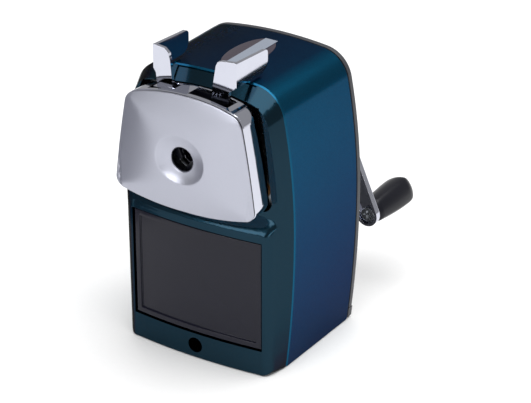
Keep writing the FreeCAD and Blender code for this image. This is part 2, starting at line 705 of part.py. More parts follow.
def head_shell():
    """Bright plated tub of the head with two slots in its roof for the finger levers."""
    nose = Part.makeLoft([head_wire(HEAD_FRONT_Y, -0.7), head_wire(HEAD_FRONT_Y + 0.7)], True, True)
    outer = join([nose, head_taper(HEAD_FRONT_Y + 0.7, HEAD_BACK_Y, 0.0)])
    hollow = head_taper(HEAD_FRONT_Y + HEAD_WALL, HEAD_BACK_Y + 0.001, HEAD_WALL)
    shell = outer.cut(hollow).cut(cyl(9.5, -50, -30))
    for x0, x1 in (RIGHT_SLOT, LEFT_SLOT):
        shell = shell.cut(block(x0, x1, -33.5, HEAD_BACK_Y - 0.8, 105, 120))
    return shell


def head_taper(y0, y1, inset):
    """Head outline between two stations, drawing in evenly towards the back."""
    def draft(y):
        return HEAD_DRAFT * (y - HEAD_FRONT_Y - 0.7) / (HEAD_BACK_Y - HEAD_FRONT_Y - 0.7)

    def ring(y):
        grow = -inset - max(draft(y), 0.0)
        return head_wire(y, grow)

    return Part.makeLoft([ring(y0), ring(y1)], True, True)


def head_back():
    """Rear wall of the head; the guide rods are riveted into it."""
    plate = head_taper(HEAD_BACK_Y - HEAD_BACK_T, HEAD_BACK_Y, HEAD_WALL)
    plate = plate.cut(cyl(7.0, -50, -10))
    for side in (-1, 1):
        plate = plate.cut(cyl(ROD_R, -50, -10, side * ROD_X, ROD_Z))
    return plate


def guide_rods():
    """Two steel rods that carry the head, each with a spring collar at its inner end."""
    rods = []
    for side in (-1, 1):
        seat = HEAD_BACK_Y - HEAD_BACK_T
        rod = cyl(ROD_R, seat, ROD_END_Y, side * ROD_X, ROD_Z)
        head = cyl(3.2, seat - 1.0, seat, side * ROD_X, ROD_Z)
        collar = cyl(3.9, ROD_END_Y - 1.2, ROD_END_Y, side * ROD_X, ROD_Z)
        rods.append(join([rod, head, collar]))
    return Part.makeCompound(rods)


def coil(r_coil, r_wire, y0, y1, turns, x, z):
    """Compression spring: a round wire carried along a helix."""
    helix = Part.makeHelix((y1 - y0) / turns, y1 - y0, r_coil)
    ring = Part.Wire([Part.Circle(V(r_coil, 0, 0), V(0, 1, 0), r_wire).toShape()])
    pipe = Part.Wire(helix.Edges).makePipeShell([ring], True, True)
    pipe.rotate(V(0, 0, 0), V(1, 0, 0), -90)
    pipe.translate(V(x, y0, z))
    return pipe


def return_springs():
    """Springs round the rods that draw the head back in."""
    y0, y1 = PLATE_Y0 + 6.5, ROD_END_Y - 1.7
    return Part.makeCompound([coil(2.95, 0.35, y0, y1, 11, s * ROD_X, ROD_Z) for s in (-1, 1)])


# ---------------------------------------------------------------- chuck

def slot_sweep(r, half, deg0, deg1, y0, y1):
    """Round-ended curved slot about the pencil axis."""
    deg = deg1 - deg0
    flat = Part.makePolygon([V(0, y0, AXIS_Z + r - half), V(0, y0, AXIS_Z + r + half),
                             V(0, y1, AXIS_Z + r + half), V(0, y1, AXIS_Z + r - half),
                             V(0, y0, AXIS_Z + r - half)])
    band = Part.Face(flat).revolve(V(0, 0, AXIS_Z), V(0, 1, 0), deg)
    band = turned(band, deg0)
    ends = [turned(cyl(half, y0, y1, 0, AXIS_Z + r), d) for d in (deg0, deg1)]
    return join([band] + ends)


def jaw_phase(k):
    """Direction of a jaw's pivot, in degrees about the pencil axis from straight up."""
    return 360.0 / JAW_COUNT * k + 60.0


def drive_pin_place():
    """Radius and lead angle of a drive pin relative to its jaw pivot."""
    set_rad = math.radians(JAW_SET_DEG)
    radial = JAW_PIVOT_R - DRIVE_PIN_REACH * math.cos(set_rad)
    side = DRIVE_PIN_REACH * math.sin(set_rad)
    return math.hypot(radial, side), math.degrees(math.atan2(side, radial))


def chuck_plate():
    """Steel plate inside the head that carries the jaws' pivot pins."""
    y0, y1 = JAW_BACK_Y + 0.3, JAW_BACK_Y + 1.8
    plate = head_taper(y0, y1, HEAD_WALL).common(block(-50, 50, -60, 0, 70, 107))
    for z in RIVET_Z:
        plate = plate.cut(cyl(RIVET_R, -50, 0, RIVET_X, z))
    plate = plate.cut(cyl(5.4, -50, 0))
    radius, lead = drive_pin_place()
    for k in range(JAW_COUNT):
        start = jaw_phase(k) - lead
        plate = plate.cut(slot_sweep(radius, DRIVE_PIN_R + DRIVE_PLAY, start - LEVER_SWING_DEG, start,
                                     y0 - 1, y1 + 1))
        plate = plate.cut(turned(cyl(JAW_PIN_R, -50, 0, 0, AXIS_Z + JAW_PIVOT_R), jaw_phase(k)))
    return plate


def jaw_pins():
    """Pivot pins for the jaws."""
    pin = cyl(JAW_PIN_R, JAW_FRONT_Y + 0.1, JAW_BACK_Y + 1.8, 0, AXIS_Z + JAW_PIVOT_R)
    return Part.makeCompound([turned(pin, jaw_phase(k)) for k in range(JAW_COUNT)])


def jaw(k):
    """One chuck jaw: an eye, a slotted arm and a rounded gripping tip near the pencil axis."""
    eye_z = AXIS_Z + JAW_PIVOT_R
    tip_z = eye_z - JAW_LENGTH
    arm = polygon([(-2.3, eye_z), (2.3, eye_z), (2.1, eye_z - 6.0), (1.0, tip_z), (-1.0, tip_z),
                   (-2.1, eye_z - 6.0)], JAW_FRONT_Y, JAW_BACK_Y)
    eye, tip = cyl(2.3, JAW_FRONT_Y, JAW_BACK_Y, 0, eye_z), cyl(1.0, JAW_FRONT_Y, JAW_BACK_Y, 0, tip_z)
    body = join([arm, eye, tip])
    half = DRIVE_PIN_R + DRIVE_PLAY
    near, far = eye_z - DRIVE_PIN_REACH, eye_z - DRIVE_PIN_REACH - 1.6
    ends = [cyl(half, -50, 0, 0, z) for z in (near, far)]
    body = body.cut(join([block(-half, half, -50, 0, far, near)] + ends))
    body = body.cut(cyl(JAW_PIN_R + RUN_FIT, -50, 0, 0, eye_z))
    body = turned(body, JAW_SET_DEG, V(0, 1, 0), V(0, 0, eye_z))
    return turned(body, jaw_phase(k))


def wing(x0, x1):
    """Finger wing running back from a lever, with rounded rear corners."""
    y_front, y_rear = LEVER_FRONT_Y, -7.0
    points = [V(x0, y_front, 117.4), V(x0, -25.5, 117.2), V(x0, -12.5, 117.2), V(x0, y_rear, 122.2),
              V(x0, y_rear, 124.2), V(x0, -8.6, 125.8), V(x0, y_front, 126.9)]
    edges = [line(points[0], points[2]),
             arc(points[2], V(x0, -8.3, 118.7), points[3]),
             line(points[3], points[4]),
             arc(points[4], V(x0, y_rear - 0.5, 125.3), points[5]),
             line(points[5], points[6]),
             line(points[6], points[0])]
    return Part.Face(Part.Wire(edges)).extrude(V(x1 - x0, 0, 0))


def right_finger_lever():
    """Moving finger lever: eye round the pencil path, leg through the slot and a folded wing."""
    y0, y1 = LEVER_FRONT_Y, LEVER_FRONT_Y + LEVER_T
    eye = tube(11.6, EYE_BORE_R, y0, y1)
    leg = polygon([(4.6, 97.0), (9.6, 94.0), (14.9, 109.7), (15.1, 115.0), (17.3, 116.6), (18.4, 118.2),
                   (18.4, 126.6), (17.4, 127.1), (11.8, 126.6), (10.2, 125.9), (9.4, 124.3), (7.0, 111.0)],
                  y0, y1)
    leg = leg.cut(cyl(EYE_BORE_R, -50, 0))
    body = join([eye, leg, wing(LEVER_SIDE_X - LEVER_T, LEVER_SIDE_X)])
    radius, lead = drive_pin_place()
    pins = []
    for k in range(JAW_COUNT):
        pin = cyl(DRIVE_PIN_R, JAW_FRONT_Y + 0.2, y0 + 0.4, 0, AXIS_Z + radius)
        pins.append(turned(pin, jaw_phase(k) - lead))
    return join([body] + pins)


def left_finger_lever():
    """Fixed finger lever bolted to the chuck plate."""
    y0, y1 = LEVER_FRONT_Y, LEVER_FRONT_Y + LEVER_T
    leg = polygon([(-16.9, 97.0), (-9.9, 97.0), (-9.9, 112.0), (-10.8, 122.0), (-11.4, 124.6), (-13.3, 126.3),
                   (-18.0, 126.9), (-18.4, 126.4), (-18.4, 117.6), (-17.3, 115.8), (-16.9, 112.0)], y0, y1)
    foot = polygon([(-17.0, 103.0), (-8.0, 103.0), (-8.0, 111.2), (-17.0, 111.2)], y0 - 2.2, y0)
    low = polygon([(-16.9, 97.0), (-9.9, 97.0), (-9.9, 103.4), (-16.9, 103.4)], y0 - 2.2, y0)
    lever = join([leg, foot, low, wing(-LEVER_SIDE_X, LEVER_T - LEVER_SIDE_X)])
    for z in RIVET_Z:
        lever = lever.cut(cyl(RIVET_R, -50, 0, RIVET_X, z))
    return lever


def lever_rivets():
    """Two rivets that fix the left lever's foot to the chuck plate."""
    back = LEVER_FRONT_Y + LEVER_T
    return Part.makeCompound([join([cyl(RIVET_R, JAW_BACK_Y + 0.3, back + 0.3, RIVET_X, z),
                                    cyl(1.7, back, back + 0.35, RIVET_X, z)]) for z in RIVET_Z])


def lever_spring():
    """Small coil that pushes the moving lever back out."""
    spring = Part.makeHelix(1.5, 12.0, 1.6)
    ring = Part.Wire([Part.Circle(V(1.6, 0, 0), V(0, 1, 0), 0.3).toShape()])
    pipe = Part.Wire(spring.Edges).makePipeShell([ring], True, True)
    pipe.rotate(V(0, 0, 0), V(0, 1, 0), 90)
    pipe.translate(V(-7.6, -28.45, 106.0))
    return pipe


# ---------------------------------------------------------------- drawer

def bowed_body(inset):
    """Upright body whose front face is a bowed arc a little behind the bezel's front."""
    reach = 34.0
    front = LOWER_FRONT_Y + inset
    edge = front + (EDGE_Y - LOWER_FRONT_Y) * (reach / EDGE_X) ** 2
    edges = [arc(V(-reach, edge, 0), V(0, front, 0), V(reach, edge, 0)),
             line(V(reach, edge, 0), V(reach, 40, 0)),
             line(V(reach, 40, 0), V(-reach, 40, 0)),
             line(V(-reach, 40, 0), V(-reach, edge, 0))]
    return Part.Face(Part.Wire(edges)).extrude(V(0, 0, 70))


def shavings_drawer():
    """Smoked clear drawer: bowed front with a sunk panel, and an open-topped tray behind it."""
    front = block(-DRAWER_X, DRAWER_X, -35, -26.4, DRAWER_Z0, DRAWER_Z1).common(bowed_body(0.5))
    sunk = block(DRAWER_BORDER - DRAWER_X, DRAWER_X - DRAWER_BORDER, -40, -20,
                 DRAWER_Z0 + DRAWER_BORDER, DRAWER_Z1 - DRAWER_BORDER)
    front = front.cut(sunk.cut(bowed_body(1.3)))
    x, w = DRAWER_X - 1.0, DRAWER_WALL
    outer = block(-x, x, -27.0, DRAWER_BACK_Y, DRAWER_Z0 + 0.4, DRAWER_Z1 - 2.0)
    inner = block(-x + w, x - w, -26.4, DRAWER_BACK_Y - w, DRAWER_Z0 + 0.4 + w, DRAWER_Z1 + 5)
    return join([front, outer.cut(inner)])


# ---------------------------------------------------------------- crank

def crank_dir():
    """Unit direction from the shaft to the knob and its length."""
    dx, dz = KNOB_X, KNOB_Z - AXIS_Z
    length = math.hypot(dx, dz)
    return dx / length, dz / length, length


def arm_wire(y, inset):
    """Tapered outline of the crank arm: two round ends and their outer tangents."""
    ux, uz, length = crank_dir()
    r0, r1 = ARM_HUB_R - inset, ARM_END_R - inset
    lean = math.asin((r0 - r1) / length)

    def rim(cx, cz, r, side):
        c, s = math.sin(lean), math.cos(lean)
        return V(cx + r * (c * ux - side * s * uz), y, cz + r * (c * uz + side * s * ux))

    a0, a1 = rim(0, AXIS_Z, r0, 1), rim(KNOB_X, KNOB_Z, r1, 1)
    b0, b1 = rim(0, AXIS_Z, r0, -1), rim(KNOB_X, KNOB_Z, r1, -1)
    back = V(-r0 * ux, y, AXIS_Z - r0 * uz)
    tip = V(KNOB_X + r1 * ux, y, KNOB_Z + r1 * uz)
    return Part.Wire([line(a0, a1), arc(a1, tip, b1), line(b1, b0), arc(b0, back, a0)])


def crank_arm():
    """Pressed steel channel, open towards the body, with a shaft hole and a knob hole."""
    y1 = ARM_FRONT_Y + ARM_DEPTH
    outer = Part.Face(arm_wire(ARM_FRONT_Y, 0)).extrude(V(0, ARM_DEPTH, 0))
    rim = [e for e in outer.Edges if abs(e.BoundBox.YMin - y1) < 1e-3]
    outer = outer.makeFillet(0.8, rim)
    inner = Part.Face(arm_wire(ARM_FRONT_Y - 1, ARM_T)).extrude(V(0, ARM_DEPTH - ARM_T + 1, 0))
    arm = outer.cut(inner).cut(cyl(SHAFT_R, 40, 60))
    return arm.cut(cyl(KNOB_PIN_R + RUN_FIT, 40, 60, KNOB_X, KNOB_Z))


def crank_hub():
    """Plastic hub that keys the arm to the shaft and stands it off the bulge."""
    return cyl(6.5, BULGE_Y1 + 1.2, ARM_FRONT_Y + ARM_DEPTH - ARM_T).cut(cyl(SHAFT_R, 40, 60))


def crank_nut():
    """Domed nut that holds the arm on the shaft."""
    y0 = ARM_FRONT_Y + ARM_DEPTH
    base = cyl(4.6, y0, y0 + 1.2)
    dome = Part.makeSphere(4.2, V(0, y0 + 1.0, AXIS_Z), V(0, 1, 0), 0, 90, 360)
    nut = join([base, dome])
    return nut.cut(cyl(SHAFT_R, 40, y0 + 0.01))


def crank_knob():
    """Black faceted knob, wider at its free end, with a rounded end."""
    profile = [V(0, KNOB_Y0, 0), V(KNOB_NECK_R, KNOB_Y0, 0), V(KNOB_END_R, KNOB_Y1 - 6.5, 0)]
    end_face = V(3.2, KNOB_Y1, 0)
    edges = [line(profile[0], profile[1]), line(profile[1], profile[2]),
             arc(profile[2], V(6.1, KNOB_Y1 - 2.0, 0), end_face),
             line(end_face, V(0, KNOB_Y1, 0)), line(V(0, KNOB_Y1, 0), profile[0])]
    knob = Part.Face(Part.Wire(edges)).revolve(V(0, 0, 0), V(0, 1, 0), 360)

    def facet_ring(y, flat_r):
        corner_r = flat_r / math.cos(math.pi / KNOB_FACETS)
        first = math.radians(KNOB_RIDGE_DEG)
        angles = [first + 2 * math.pi * k / KNOB_FACETS for k in range(KNOB_FACETS + 1)]
        return Part.makePolygon([V(corner_r * math.sin(a), y, corner_r * math.cos(a)) for a in angles])

    ends = [facet_ring(KNOB_Y0 - 1, KNOB_NECK_R * KNOB_FLAT), facet_ring(KNOB_Y1 + 1, KNOB_END_R * KNOB_FLAT)]
    facets = Part.makeLoft(ends, True, True)
    knob = knob.common(facets)
    knob.translate(V(KNOB_X, 0, KNOB_Z))
    return knob.cut(cyl(KNOB_PIN_R, 40, KNOB_Y0 + 16, KNOB_X, KNOB_Z))


def knob_screw():
    """Cross-head screw the knob turns on, with its head inside the channel."""
    seat = ARM_FRONT_Y + ARM_DEPTH - ARM_T - 0.1
    return screw(KNOB_X, seat, KNOB_Z, 3.0, KNOB_PIN_R, KNOB_Y0 + 15 - seat, 1.4)


def main():
    """Make every piece and write it."""
    os.makedirs("parts", exist_ok=True)
    pieces = {
        "outer_shell": outer_shell(),
        "front_bezel": front_bezel(),
        "rear_cover": rear_cover(),
        "rear_cover_screws": rear_cover_screws(),
        "base_pan": base_pan(),
        "rubber_foot": rubber_foot(),
        "base_screws": base_screws(),
        "top_label": label_plate(0.0, -0.9, 0.05),
        "top_label_bar": label_bar(),
        "mech_frame": mech_frame(),
        "frame_screws": frame_screws(),
        "bezel_screws": bezel_screws(),
        "ring_gear": ring_gear(),
        "rod_bushes": rod_bushes(),
        "shaft_bushes": shaft_bushes(),
        "return_springs": return_springs(),
        "face_plate": face_plate(),
        "plate_gasket": plate_gasket(),
        "head_shell": head_shell(),
        "head_back": head_back(),
        "guide_rods": guide_rods(),
        "chuck_plate": chuck_plate(),
        "jaw_pins": jaw_pins(),
        "left_finger_lever": left_finger_lever(),
        "lever_rivets": lever_rivets(),
        "right_finger_lever": right_finger_lever(),
        "lever_spring": lever_spring(),
        "cutter_pinion": cutter_pinion(),
        "helical_cutter": helical_cutter(),
        "cutter_axle": cutter_axle(),
        "cutter_carrier": cutter_carrier(),
        "crank_shaft": crank_shaft(),
        "crank_hub": crank_hub(),
        "crank_arm": crank_arm(),
        "crank_nut": crank_nut(),
        "crank_knob": crank_knob(),
        "knob_screw": knob_screw(),
        "shavings_drawer": shavings_drawer(),
    }
    for k in range(JAW_COUNT):
        pieces["chuck_jaw_%d" % (k + 1)] = jaw(k)
    for name, shape in pieces.items():
        print(name, shape.isValid(), len(shape.Solids), round(shape.Volume, 1))
        save(name, shape)


main()
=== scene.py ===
"""Looks of a hand-crank desk pencil sharpener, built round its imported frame."""
import enum
import logging
import math
from dataclasses import dataclass
from typing import Optional, Sequence

import bmesh
import bpy
import numpy as np
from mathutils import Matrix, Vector


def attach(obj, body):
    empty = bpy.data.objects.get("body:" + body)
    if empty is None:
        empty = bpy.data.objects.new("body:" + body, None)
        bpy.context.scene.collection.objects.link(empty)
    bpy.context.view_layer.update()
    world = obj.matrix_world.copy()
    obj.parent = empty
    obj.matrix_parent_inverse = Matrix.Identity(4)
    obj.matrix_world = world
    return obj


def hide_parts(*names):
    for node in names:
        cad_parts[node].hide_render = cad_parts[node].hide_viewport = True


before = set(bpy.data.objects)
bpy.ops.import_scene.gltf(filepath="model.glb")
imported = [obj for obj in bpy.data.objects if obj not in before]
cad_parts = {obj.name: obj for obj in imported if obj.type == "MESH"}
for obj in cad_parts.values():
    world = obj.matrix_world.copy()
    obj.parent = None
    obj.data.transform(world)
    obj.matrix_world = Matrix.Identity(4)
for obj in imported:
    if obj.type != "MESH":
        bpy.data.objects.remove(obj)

MM = 0.001
# Points nearer than this are one point, in a new mesh and in a carried-over one.
WELD_M = 1e-6
MERGE_M = 2e-6
# Faces that turn by less than this many degrees are one flat face.
FLAT_DEG = 0.6
LOG = logging.getLogger("sharpener")
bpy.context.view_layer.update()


# ------------------------------------------------------------------ colour and node helpers

def linear(hex_colour: str) -> tuple[float, float, float, float]:
    """Turn an sRGB hex colour into linear RGBA.

    Args:
        hex_colour: Six hex digits with or without a leading hash.

    Returns:
        Linear red, green, blue and an alpha of one.
    """
    digits = hex_colour.lstrip("#")
    raw = np.array([int(digits[i:i + 2], 16) for i in (0, 2, 4)]) / 255.0
    lin = np.where(raw <= 0.04045, raw / 12.92, ((raw + 0.055) / 1.055) ** 2.4)
    return (float(lin[0]), float(lin[1]), float(lin[2]), 1.0)


def add(tree: bpy.types.NodeTree, kind: str, links: Optional[dict] = None,
        **settings: object) -> bpy.types.Node:
    """Add a node, set its properties and sockets, and link its inputs.

    Args:
        tree: Node tree to add to.
        kind: Blender's node type name.
        links: Input socket name or index to the output socket it reads.
        **settings: Property values, or with an "in_" prefix the default of a named input.

    Returns:
        The new node.
    """
    node = tree.nodes.new(kind)
    for key, value in settings.items():
        if key.startswith("in_"):
            name = key[3:]
            node.inputs[int(name) if name.isdigit() else name.replace("_", " ")].default_value = value
        else:
            setattr(node, key, value)
    for name, source in (links or {}).items():
        tree.links.new(source, node.inputs[name])
    return node


class Pattern(enum.Enum):
    """How a finish's surface was worked, which the log names; the grain and relief stand for it."""

    MOULDED = "moulded"
    BLASTED = "blasted"
    POLISHED = "polished"
    TURNED = "turned"
    CAST = "cast"
    PAINTED = "painted"


@dataclass(frozen=True)
class Finish:
    """One real surface finish and the shader values that stand for it."""

    name: str
    colour: str
    shade: str
    metallic: float
    roughness: float
    pattern: Pattern
    grain_mm: float
    relief_mm: float = 0.01
    spread: float = 0.08
    ior: float = 1.5
    coat: float = 0.0
    coat_roughness: float = 0.03
    alpha: float = 1.0
    specular: float = 0.5
    wear_mm: float = 22.0

    def material(self) -> bpy.types.Material:
        """Build the procedural material: a fine grain under broad patches of wear.

        Returns:
            The material, or the one already built under this name.
        """
        known = bpy.data.materials.get(self.name)
        if known:
            return known
        mat = bpy.data.materials.new(self.name)
        mat.use_nodes = True
        tree = mat.node_tree
        tree.nodes.clear()
        coords = add(tree, "ShaderNodeTexCoord")
        fine = add(tree, "ShaderNodeTexNoise", {"Vector": coords.outputs["Object"]},
                   in_Scale=1.0 / (self.grain_mm * MM), in_Detail=3.0, in_Roughness=0.6)
        broad = add(tree, "ShaderNodeTexNoise", {"Vector": coords.outputs["Object"]},
                    in_Scale=1.0 / (self.wear_mm * MM), in_Detail=4.0, in_Roughness=0.55)
        tint = add(tree, "ShaderNodeMix", {"Factor": fine.outputs["Fac"]}, data_type="RGBA")
        tint.inputs["A"].default_value = linear(self.colour)
        tint.inputs["B"].default_value = linear(self.shade)
        wipe = add(tree, "ShaderNodeMath", {0: broad.outputs["Fac"], 1: fine.outputs["Fac"]}, operation="ADD")
        rough = add(tree, "ShaderNodeMapRange", {"Value": wipe.outputs["Value"]},
                    in_From_Min=0.6, in_From_Max=1.4)
        rough.inputs["To Min"].default_value = self.roughness * (1.0 - self.spread * 2)
        rough.inputs["To Max"].default_value = self.roughness * (1.0 + self.spread * 2)
        bump = add(tree, "ShaderNodeBump", {"Height": fine.outputs["Fac"]}, in_Strength=1.0)
        bump.inputs["Distance"].default_value = self.relief_mm * MM
        shader = add(tree, "ShaderNodeBsdfPrincipled", {
            "Base Color": tint.outputs["Result"], "Roughness": rough.outputs["Result"],
            "Normal": bump.outputs["Normal"]}, in_Metallic=self.metallic)
        if self.metallic < 1.0:
            shader.inputs["IOR"].default_value = self.ior
        shader.inputs["Coat Weight"].default_value = self.coat
        shader.inputs["Coat Roughness"].default_value = self.coat_roughness
        shader.inputs["Alpha"].default_value = self.alpha
        shader.inputs["Specular IOR Level"].default_value = self.specular
        add(tree, "ShaderNodeOutputMaterial", {"Surface": shader.outputs["BSDF"]})
        mat.diffuse_color = linear(self.colour)
        LOG.info("%s is %s", self.name, self.pattern.value)
        return mat


@dataclass(frozen=True)
class PearlPaint:
    """Pearl paint under thin lacquer: fine coloured flakes glint in a dark blue-green base."""

    name: str
    deep: str
    bright: str
    edge: str
    roughness: float = 0.34
    coat: float = 0.22
    flake_mm: float = 0.45
    glint: float = 0.30
    facing: float = 0.30
    tilt: float = 0.10
    tilt_mm: float = 0.02
    mottle_mm: float = 30.0
    mottle: float = 0.04
    coat_roughness: float = 0.08

    def material(self) -> bpy.types.Material:
        """Build the paint: flake cells vary the tint and tilt the base layer, and the lacquer stays smooth.

        Returns:
            The material, or the one already built under this name.
        """
        known = bpy.data.materials.get(self.name)
        if known:
            return known
        mat = bpy.data.materials.new(self.name)
        mat.use_nodes = True
        tree = mat.node_tree
        tree.nodes.clear()
        coords = add(tree, "ShaderNodeTexCoord")
        cells = add(tree, "ShaderNodeTexVoronoi", {"Vector": coords.outputs["Object"]},
                    in_Scale=1.0 / (self.flake_mm * MM))
        broad = add(tree, "ShaderNodeTexNoise", {"Vector": coords.outputs["Object"]},
                    in_Scale=1.0 / (self.mottle_mm * MM), in_Detail=2.0)
        facing = add(tree, "ShaderNodeLayerWeight", in_Blend=self.facing)
        pick = add(tree, "ShaderNodeSeparateColor", {"Color": cells.outputs["Color"]})
        glint = add(tree, "ShaderNodeMapRange", {"Value": pick.outputs["Red"]},
                    in_To_Min=0.0, in_To_Max=self.glint)
        amount = add(tree, "ShaderNodeMath", {0: facing.outputs["Facing"], 1: glint.outputs["Result"]},
                     operation="SUBTRACT", use_clamp=True)
        tint = add(tree, "ShaderNodeMix", {"Factor": amount.outputs["Value"]}, data_type="RGBA")
        tint.inputs["A"].default_value = linear(self.bright)
        tint.inputs["B"].default_value = linear(self.deep)
        bump = add(tree, "ShaderNodeBump", {"Height": pick.outputs["Green"]}, in_Strength=self.tilt)
        bump.inputs["Distance"].default_value = self.tilt_mm * MM
        rough = add(tree, "ShaderNodeMapRange", {"Value": broad.outputs["Fac"]},
                    in_To_Min=self.roughness - self.mottle, in_To_Max=self.roughness + self.mottle)
        shader = add(tree, "ShaderNodeBsdfPrincipled", {
            "Base Color": tint.outputs["Result"], "Roughness": rough.outputs["Result"],
            "Normal": bump.outputs["Normal"]}, in_Metallic=1.0)
        shader.inputs["Specular Tint"].default_value = linear(self.edge)
        shader.inputs["Coat Weight"].default_value = self.coat
        shader.inputs["Coat Roughness"].default_value = self.coat_roughness
        add(tree, "ShaderNodeOutputMaterial", {"Surface": shader.outputs["BSDF"]})
        mat.diffuse_color = linear(self.deep)
        return mat


# Nickel-chrome plate is near mirror smooth, with only polishing haze.
CHROME = Finish("chrome_plate", "#C9CBD6", "#C1C3CF", 1.0, 0.07, Pattern.POLISHED, 6.0, 0.0006, 0.2)
# Pearl-satin chrome: a fine blasted tooth under the plate blurs what it reflects.
SATIN = Finish("satin_chrome", "#AFB1BC", "#A6A8B4", 1.0, 0.32, Pattern.BLASTED, 0.3, 0.0015, 0.05)
# Moulded black ABS with a light spark-eroded texture.
BLACK_ABS = Finish("black_abs", "#0B0C14", "#10111A", 0.0, 0.32, Pattern.MOULDED, 0.5, 0.01, 0.1,
                   specular=0.24)
# Charcoal ABS of the rear cover and base, coarser texture.
CHARCOAL_ABS = Finish("charcoal_abs", "#2B2C30", "#35363B", 0.0, 0.5, Pattern.MOULDED, 0.6, 0.02, 0.1)
# Smoked clear styrene: dark, glossy, lets a little of the inside show.
SMOKED = Finish("smoked_styrene", "#0E0F1C", "#121220", 0.0, 0.14, Pattern.POLISHED, 8.0, 0.001, 0.2,
                ior=1.45, alpha=0.97, specular=0.30)
# Moulded rubber of the foot, dull all over.
RUBBER = Finish("black_rubber", "#121212", "#1B1B1B", 0.0, 0.8, Pattern.MOULDED, 0.4, 0.02, 0.06)
# Zinc plating on pressed steel: slightly blue, hazy.
ZINC_STEEL = Finish("zinc_plated_steel", "#B9BDC2", "#A3A8AE", 1.0, 0.3, Pattern.TURNED, 0.8, 0.004, 0.15)
# Centreless-ground steel of rods, pins and shafts.
GROUND_STEEL = Finish("ground_steel", "#C9CBCE", "#BDBFC3", 1.0, 0.16, Pattern.TURNED, 0.4, 0.002, 0.2)
# Hardened steel of the cutter, darker from its heat treatment.
TOOL_STEEL = Finish("hardened_tool_steel", "#6F7075", "#5B5C61", 1.0, 0.3, Pattern.TURNED, 0.4, 0.004, 0.2)
# Die-cast zinc of the cutter carrier, dull and grainy.
CAST_ZINC = Finish("cast_zinc", "#8F9196", "#7D7F84", 1.0, 0.45, Pattern.CAST, 0.9, 0.03, 0.15)
# Oil-filled sintered bronze of the bushes.
BRONZE = Finish("sintered_bronze", "#9A7148", "#7F5B38", 1.0, 0.42, Pattern.CAST, 0.3, 0.01, 0.15)
# Drawn spring wire.
SPRING = Finish("spring_wire", "#A9ABB0", "#96989D", 1.0, 0.24, Pattern.POLISHED, 0.5, 0.002, 0.15)
# Printed film of the roof label, and the silver foil bar on it.
LABEL = Finish("label_film", "#332C36", "#39323B", 0.0, 0.2, Pattern.POLISHED, 1.0, 0.001, 0.1, specular=0.3)
SILVER = Finish("silver_foil", "#B4BDCD", "#A9B3C4", 0.7, 0.24, Pattern.POLISHED, 0.6, 0.001, 0.1)
# Teal pearl of the barrel, and the same paint made darker and greyer on the front moulding: painted shade for
# the darker light its faces take.
PAINT = PearlPaint("teal_pearl_paint", "#0B374C", "#0F4E6B", "#37606F", 0.30, 0.12)
SHADED_BEZEL_PAINT = PearlPaint("shaded_teal_pearl_paint", "#081D28", "#0E2B39", "#2C4955", 0.20, 0.20)


# ------------------------------------------------------------------ surfaces worked out with numpy

def wrap_grid(points: np.ndarray, close_u: bool, close_v: bool) -> tuple[np.ndarray, np.ndarray]:
    """Turn a grid of points into vertices and four-sided faces.

    A point (i, j) is joined to (i+1, j), (i+1, j+1) and (i, j+1), and a closed direction wraps round.

    Args:
        points: Array of shape (rows, columns, 3).
        close_u: Join the last row to the first.
        close_v: Join the last column to the first.

    Returns:
        Vertices of shape (n, 3) and faces of shape (m, 4).
    """
    rows, cols = points.shape[:2]
    i = np.arange(rows if close_u else rows - 1)
    j = np.arange(cols if close_v else cols - 1)
    a, b = np.meshgrid(i, j, indexing="ij")
    a1, b1 = (a + 1) % rows, (b + 1) % cols
    faces = np.stack([a * cols + b, a1 * cols + b, a1 * cols + b1, a * cols + b1], axis=-1)
    return points.reshape(-1, 3), faces.reshape(-1, 4)


def make_piece(name: str, verts: np.ndarray, faces: np.ndarray,
               finish: "Finish | PearlPaint") -> bpy.types.Object:
    """Make a smooth-shaded mesh object from points in millimetres.

    Args:
        name: Piece name.
        verts: Points of shape (n, 3) in millimetres.
        faces: Four-sided faces as indices.
        finish: Finish to dress it in.

    Returns:
        The new object, at the origin, with outward faces.
    """
    mesh = bpy.data.meshes.new(name)
    mesh.from_pydata((verts * MM).tolist(), [], faces.tolist())
    work = bmesh.new()
    work.from_mesh(mesh)
    bmesh.ops.remove_doubles(work, verts=work.verts, dist=WELD_M)
    bmesh.ops.recalc_face_normals(work, faces=work.faces)
    work.to_mesh(mesh)
    work.free()
    mesh.shade_smooth()
    mesh.materials.append(finish.material())
    obj = bpy.data.objects.new(name, mesh)
    bpy.context.scene.collection.objects.link(obj)
    return obj


def arc_points(a: Sequence[float], b: Sequence[float], c: Sequence[float], count: int) -> np.ndarray:
    """Points along the circle arc from a through b to c.

    The centre is where the perpendicular bisectors of ab and bc meet, and the angle runs evenly
    from a to c on the side that holds b. The last point is left out, so arcs can be joined.

    Args:
        a: Start point.
        b: Point on the arc.
        c: End point.
        count: How many points.

    Returns:
        Array of shape (count, 2).
    """
    pa, pb, pc = (np.asarray(p, float) for p in (a, b, c))
    m = np.array([pb - pa, pc - pb]) * 2.0
    centre = np.linalg.solve(m, np.array([pb @ pb - pa @ pa, pc @ pc - pb @ pb]))
    ang = [math.atan2(*(p - centre)[::-1]) for p in (pa, pb, pc)]
    sweep = (ang[2] - ang[0]) % (2 * math.pi)
    if (ang[1] - ang[0]) % (2 * math.pi) > sweep:
        sweep -= 2 * math.pi
    t = ang[0] + sweep * np.arange(count) / count
    radius = np.linalg.norm(pa - centre)
    return centre + radius * np.stack([np.cos(t), np.sin(t)], axis=-1)


